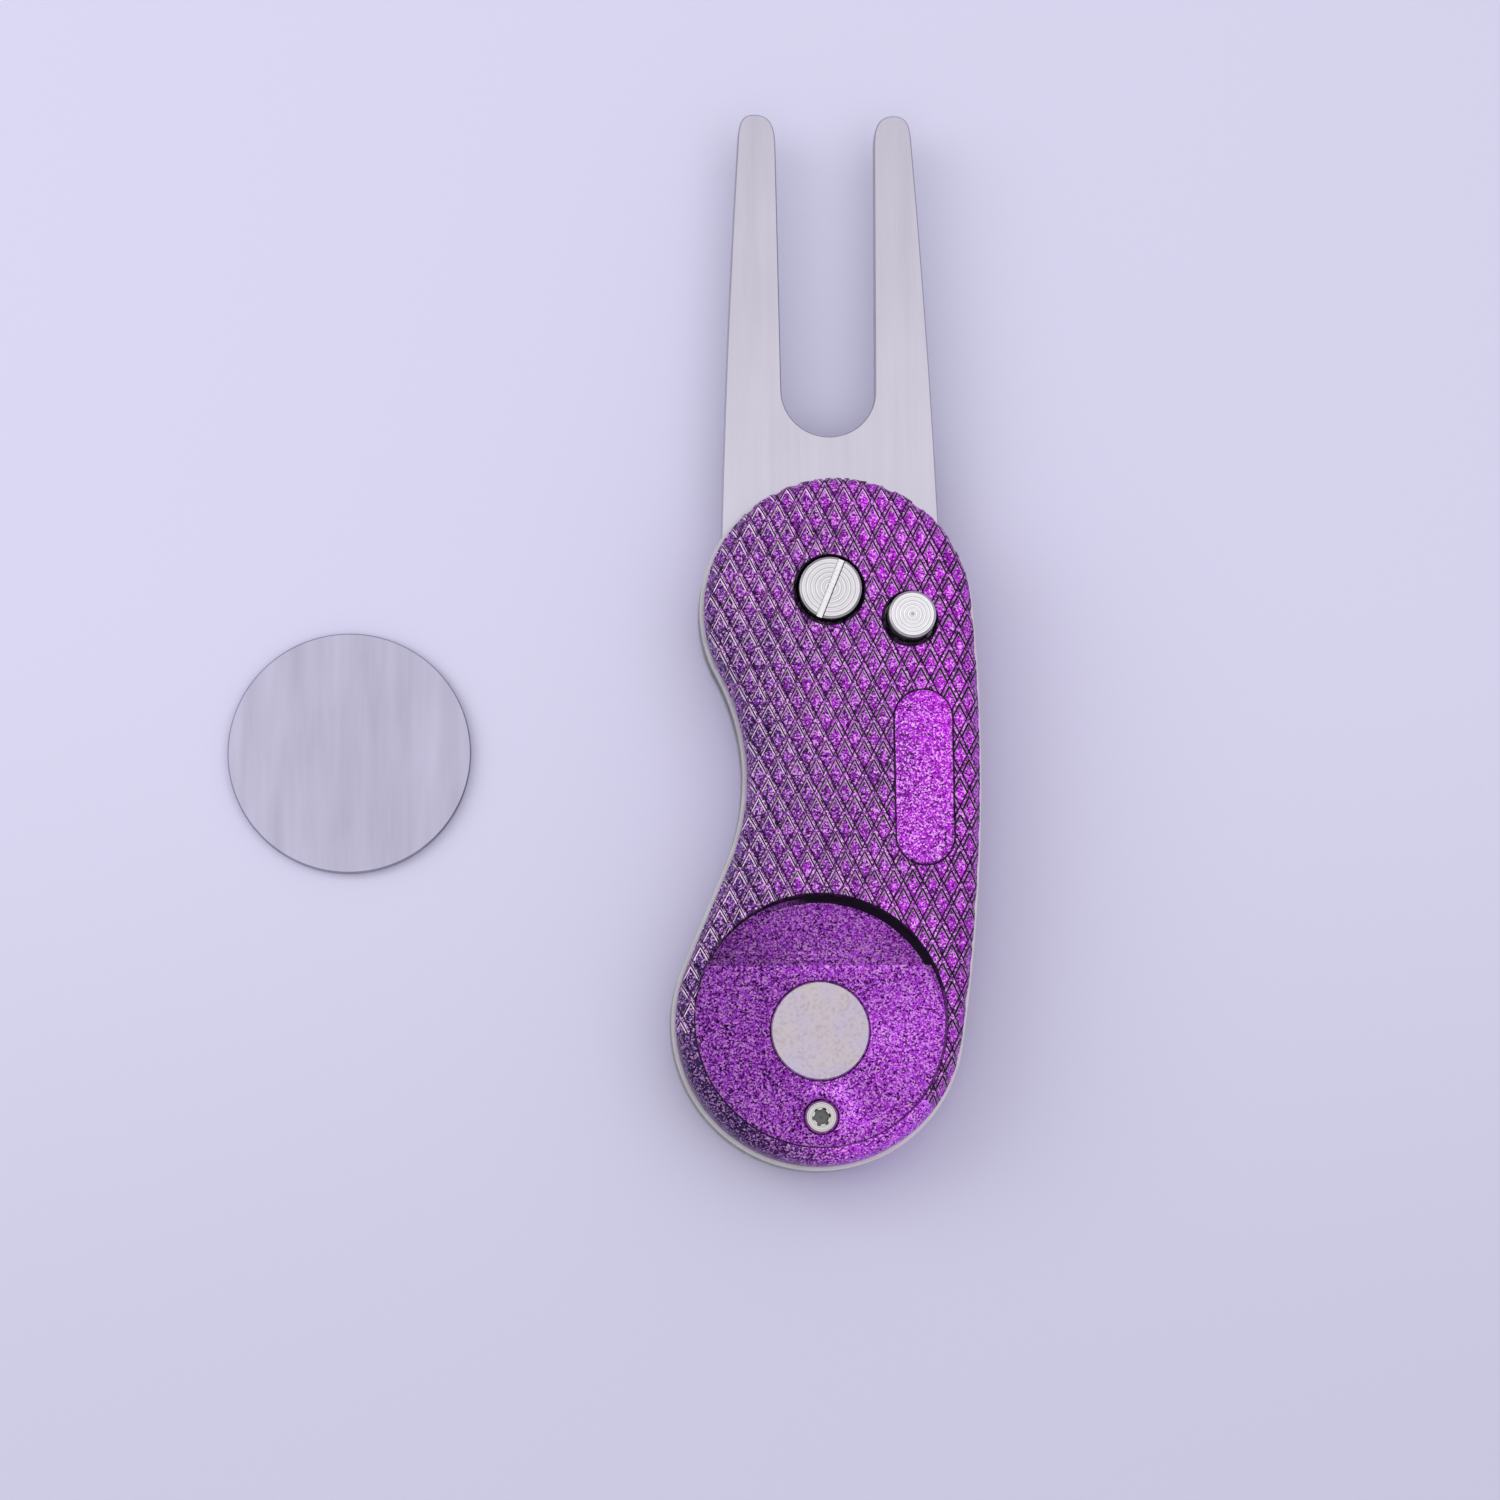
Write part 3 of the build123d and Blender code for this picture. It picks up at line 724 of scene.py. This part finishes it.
def knurlTree():
    inputs = {"Blank": "Object", "Outline": "Object", "Material": "Material", "Cells": "Int", "Centre": "Vector"}
    inputs.update((label, "Float") for label in knurlLabels)
    inputs.update({"Face": "Float", "Side": "Float"})
    g = Graph("knurl", inputs)
    cells = g.value("Cells")
    steps = 6                # mesh lines in each cell: web, foot, two across the diamond, foot, web
    size = cells * steps
    points = size + 1
    sizes = {"Size X": size, "Size Y": size, "Vertices X": points, "Vertices Y": points}
    grid = g.node("GeometryNodeMeshGrid", None, sizes)
    across, along, z = g.split(g.node("GeometryNodeInputPosition"))

    def lattice(position):
        # whole cells plus a share of a cell, and whether the line is on a diamond's floor
        spot = (position + size * 0.5 + 0.01).floor()
        cell = (spot * (1 / steps)).floor()
        step = spot - cell * steps
        foot = g.value("Web") + g.value("Wall")
        first, last = step.less(0.5), 1 - step.less(4.5)
        onFloor = (1 - first) * (1 - last)
        floor = foot + (step - 1) * (1 / 3) * (1 - foot * 2)
        share = onFloor * floor + first * g.value("Web") + last * (1 - g.value("Web"))
        return cell + share - cells * 0.5, onFloor

    u, floorU = lattice(across)
    v, floorV = lattice(along)
    y = (u + v) * g.value("Along") * 0.5
    x = (u - v) * g.value("Across") * 0.5 + y * g.value("Lean")
    flat = g.vector("ADD", g.join(x, y, 0.0), g.value("Centre"))
    grid = g.store(grid, "sunk", "FLOAT", floorU * floorV)
    spread = g.node("GeometryNodeSetPosition", None, {"Geometry": grid, "Position": flat})

    # where each point lies against the outline
    shape = g.object("Outline")
    where = g.node("GeometryNodeInputPosition")
    near = g.nearest(shape, "EDGES", where, "Position")
    inside = g.nearest(shape, "EDGES", where, "Distance")
    outside = g.nearest(shape, "FACES", where, "Distance")
    isOut = 1 - outside.less(knurl["onEdge"])
    wx, wy, wz = g.split(where)
    nx, ny, nz = g.split(near)
    ox, oy, oz = g.split(g.vector("NORMALIZE", g.vector("SUBTRACT", near, where)))
    turn = 1 - isOut * 2

    # the smooth band round the tail has no diamonds
    angle = wy.heading(wx)
    inBand = angle.less(g.value("BandHigh")) * (1 - angle.less(g.value("BandLow")))
    band = inBand * (1 - distance(wx, wy).less(g.value("BandReach")))
    sunk = g.attribute("sunk", "FLOAT") * (1 - band)
    offset = g.value("Lift") - sunk * (g.value("Depth") + g.value("Lift"))

    # the skin follows the rounded edge, then runs straight down the side
    dome, side = g.value("Dome"), g.value("Side")
    over = ((dome - inside) / dome).clamp() * (1 - isOut) + isOut
    rise = (1 - over * over).clamp().root()
    px = wx * (1 - isOut) + nx * isOut + ox * turn * offset * over
    py = wy * (1 - isOut) + ny * isOut + oy * turn * offset * over
    down = dome * (1 - rise) + outside - offset * rise
    skin = g.join(px, py, g.value("Face") - side * down)
    away = g.join(ox * turn * over, oy * turn * over, side * rise)
    tooFar = 1 - outside.less(g.value("Reach"))
    faraway = {"Geometry": spread, "Selection": tooFar}
    kept = g.node("GeometryNodeDeleteGeometry", {"domain": "POINT"}, faraway)
    kept = g.store(kept, "away", "FLOAT_VECTOR", away)
    formed = g.node("GeometryNodeSetPosition", None, {"Geometry": kept, "Position": skin})

    # a closed cutter outside the skin, taken away from the plain cover
    push = {"Mesh": formed, "Offset": g.attribute("away", "FLOAT_VECTOR")}
    push.update({"Offset Scale": knurl["shell"], "Individual": False})
    lid = g.node("GeometryNodeExtrudeMesh", {"mode": "FACES"}, push)
    base = g.node("GeometryNodeFlipFaces", None, {0: formed})
    shell = g.node("GeometryNodeJoinGeometry")
    for part in (lid, base):
        g.tree.links.new(part.out, shell.out.node.inputs[0])
    shell = g.node("GeometryNodeMergeByDistance", None, {"Geometry": shell, "Distance": knurl["weld"]})
    shell = g.node("GeometryNodeFlipFaces", None, {0: shell, 1: side.less(0.0)})
    shell = g.node("GeometryNodeTriangulate", None, {0: shell})
    difference = {"operation": "DIFFERENCE", "solver": "MANIFOLD"}
    cut = g.node("GeometryNodeMeshBoolean", difference, {0: g.object("Blank"), 1: shell})
    g.finish(cut, g.value("Material"))
    return g


knurlSharp, roundSharp = 28, 40   # edges that turn by more than this, in degrees, stay sharp


def tidyShading(made, angle):
    for polygon in made.data.polygons:
        polygon.use_smooth = True
    made.data.set_sharp_from_angle(angle=radians(angle))


knurler = knurlTree()


def knurledCover(name, node, side):
    low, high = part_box(node)
    blank = mergedCopy(node, name + "Blank")
    outline = outlineObject(name + "Outline", outlineOf(node, side < 0))
    face = high[2] if side > 0 else low[2]
    values = {label: knurl[key] for label, key in knurlLabels.items()}
    values.update({
        "Blank": blank, "Outline": outline, "Material": finishes["paint"], "Cells": knurl["cells"],
        "Centre": knurl["centre"], "Face": face, "Side": float(side),
    })
    made = knurler.apply(name, values)
    for helper in (blank, outline):
        bpy.data.objects.remove(helper)
    tidyShading(made, knurlSharp)
    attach(made, "handle")
    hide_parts(node)
    print(name, "faces:", len(made.data.polygons))


def thumbPad():
    # a plain smooth oval pad, crowned, standing just proud of the diamonds
    wide, tall = pad["half"]
    px, py = pad["centre"]
    sides = pad["sides"]
    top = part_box("front_cover")[1][2]
    mesh = bmesh.new()
    rows = []
    for inset, rise in pad["rings"]:
        row = []
        for i in range(sides):
            a = 2 * pi * i / sides
            r = wide - inset
            half = tall - wide if sin(a) >= 0 else wide - tall
            row.append(mesh.verts.new((px + r * cos(a), py + r * sin(a) + half, top + rise)))
        rows.append(row)
    for low, high in zip(rows, rows[1:]):
        for i in range(sides):
            j = (i + 1) % sides
            mesh.faces.new((low[i], low[j], high[j], high[i]))
    mesh.faces.new(rows[-1])
    mesh.faces.new(list(reversed(rows[0])))
    bmesh.ops.triangulate(mesh, faces=[f for f in mesh.faces if len(f.verts) > 4])
    data = bpy.data.meshes.new("thumbPad")
    mesh.to_mesh(data)
    mesh.free()
    data.materials.append(finishes["pad"])
    made = bpy.data.objects.new("thumbPad", data)
    bpy.context.scene.collection.objects.link(made)
    tidyShading(made, roundSharp)
    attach(made, "handle")


spring = {
    "place": (9.73 * mm, 41.1 * mm, 0.76 * mm),
    "radius": 1.45 * mm,
    "wire": 0.15 * mm,
    "height": 2.27 * mm,
    "turns": 3.5,
    "pathSteps": 32,         # straight runs in each turn, and sides of the wire
    "wireSides": 12,
    "foot": 0.6 * mm,
    "keep": 0.53,            # what is left of its height with the button pressed
}


def coilTree():
    g = Graph("coil", {
        "Turns": "Float", "Radius": "Float", "Wire": "Float", "Height": "Float", "Place": "Vector",
        "PathSteps": "Int", "WireSides": "Int", "Material": "Material",
    })
    radius = g.value("Radius")
    path = g.node("GeometryNodeCurveSpiral", None, {
        "Resolution": g.value("PathSteps"), "Rotations": g.value("Turns"), "Start Radius": radius,
        "End Radius": radius, "Height": g.value("Height"),
    })
    section = {"Resolution": g.value("WireSides"), "Radius": g.value("Wire")}
    ring = g.node("GeometryNodeCurvePrimitiveCircle", None, section)
    wire = g.node("GeometryNodeCurveToMesh", None, {"Curve": path, "Profile Curve": ring, "Fill Caps": True})
    made = g.node("GeometryNodeTransform", None, {"Geometry": wire, "Translation": g.value("Place")})
    g.finish(made, g.value("Material"))
    return g


def buttonSpring():
    # a coil of wire for the button's spring, built at its full height
    made = coilTree().apply("buttonSpringCoil", {
        "Turns": spring["turns"], "Radius": spring["radius"], "Wire": spring["wire"], "Height": spring["height"],
        "Place": spring["place"], "PathSteps": spring["pathSteps"], "WireSides": spring["wireSides"],
        "Material": finishes["wire"],
    })
    tidyShading(made, roundSharp)
    x, y, z = spring["place"]
    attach(made, "handle")
    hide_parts("button_spring")
    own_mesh(made)
    print("button spring faces:", len(made.data.polygons))


buttonSpring()
knurledCover("frontCoverKnurled", "front_cover", 1)
thumbPad()
knurledCover("rearCoverKnurled", "rear_cover", -1)
print("covers knurled")


studio = {
    "floor": (0.64, 0.625, 0.80),
    "lowFloor": 0.86,        # painted shade: how much darker the floor's near end is
    "world": (0.97, 0.965, 1.0),
    "worldStrength": 0.59,
    "key": {"place": (-0.52, 0.16, 0.44), "size": 0.46, "power": 1.35, "colour": (1.0, 0.99, 1.0)},
    "fill": {"place": (0.05, 0.05, 0.85), "size": 1.2, "power": 4.0, "colour": (1.0, 0.99, 1.0)},
    "aim": (0.0, 0.04, 0.0),
    "half": 2.0,
    "drop": 0.02 * mm,       # the floor lies this far below the part
    "rough": 0.9,
    "grain": 1500.0,
    "grainShare": 0.1,
    "near": (-0.05, 0.05),   # where the near end's painted shade fades out, in Y
    "nearShare": 0.8,
}


def makeFloor():
    m = Finish("floorPaper", Roughness=studio["rough"])
    grain = m.noise(m.place(), studio["grain"], 3.0)
    x, y, z = m.split(m.place())
    # painted shade: the near end of the floor darker
    near = (1 - y.step(*studio["near"])) * studio["nearShare"] + grain * studio["grainShare"]
    m.set(Base_Color=m.blend(near, studio["floor"], toned(studio["floor"], studio["lowFloor"])))
    mesh = bpy.data.meshes.new("floor")
    r = studio["half"]
    mesh.from_pydata([(-r, -r, 0), (r, -r, 0), (r, r, 0), (-r, r, 0)], [], [(0, 1, 2, 3)])
    mesh.materials.append(m.data)
    floor = bpy.data.objects.new("floor", mesh)
    bpy.context.scene.collection.objects.link(floor)
    floor.location.z = -studio["drop"]


def areaLight(name, spec):
    data = bpy.data.lights.new(name, "AREA")
    data.shape = "SQUARE"
    data.size = spec["size"]
    data.energy = spec["power"]
    data.color = spec["colour"]
    light = bpy.data.objects.new(name, data)
    light.location = spec["place"]
    away = Vector(spec["place"]) - Vector(studio["aim"])
    light.rotation_euler = away.to_track_quat("Z", "Y").to_euler()
    bpy.context.scene.collection.objects.link(light)


def makeWorld():
    world = bpy.data.worlds.new("studioWorld")
    world.use_nodes = True
    shade = world.node_tree.nodes["Background"]
    shade.inputs["Color"].default_value = (*studio["world"], 1.0)
    shade.inputs["Strength"].default_value = studio["worldStrength"]
    bpy.context.scene.world = world


camera = {
    "place": (-0.0348, -0.0352, 0.4020),
    "down": (-0.0706633, 0.1607143),   # slopes of straight down against the view's axis, to the right and downwards
    "lens": 94.08,                     # in millimetres, like the sensor
    "sensor": 36.0,
    "near": 0.01,
}


def makeCamera():
    data = bpy.data.cameras.new("camera")
    data.sensor_width = camera["sensor"]
    data.lens = camera["lens"]
    data.clip_start = camera["near"]
    right, down = camera["down"]
    straightDown = Vector((right, -down, -1.0)).normalized()
    worldY = Vector((0, 1, 0))
    north = (worldY - straightDown * worldY.dot(straightDown)).normalized()
    east = north.cross(-straightDown)
    # rows are the world axes seen from the camera, so the matrix's inverse turns the camera
    turn = Matrix((east, north, -straightDown))
    holder = bpy.data.objects.new("camera", data)
    holder.matrix_world = Matrix.Translation(camera["place"]) @ turn.to_4x4()
    bpy.context.scene.collection.objects.link(holder)
    bpy.context.scene.camera = holder


bpy.context.scene.view_settings.view_transform = "Standard"
makeFloor()
areaLight("keyLight", studio["key"])
areaLight("fillLight", studio["fill"])
makeWorld()
makeCamera()
print("studio ready")
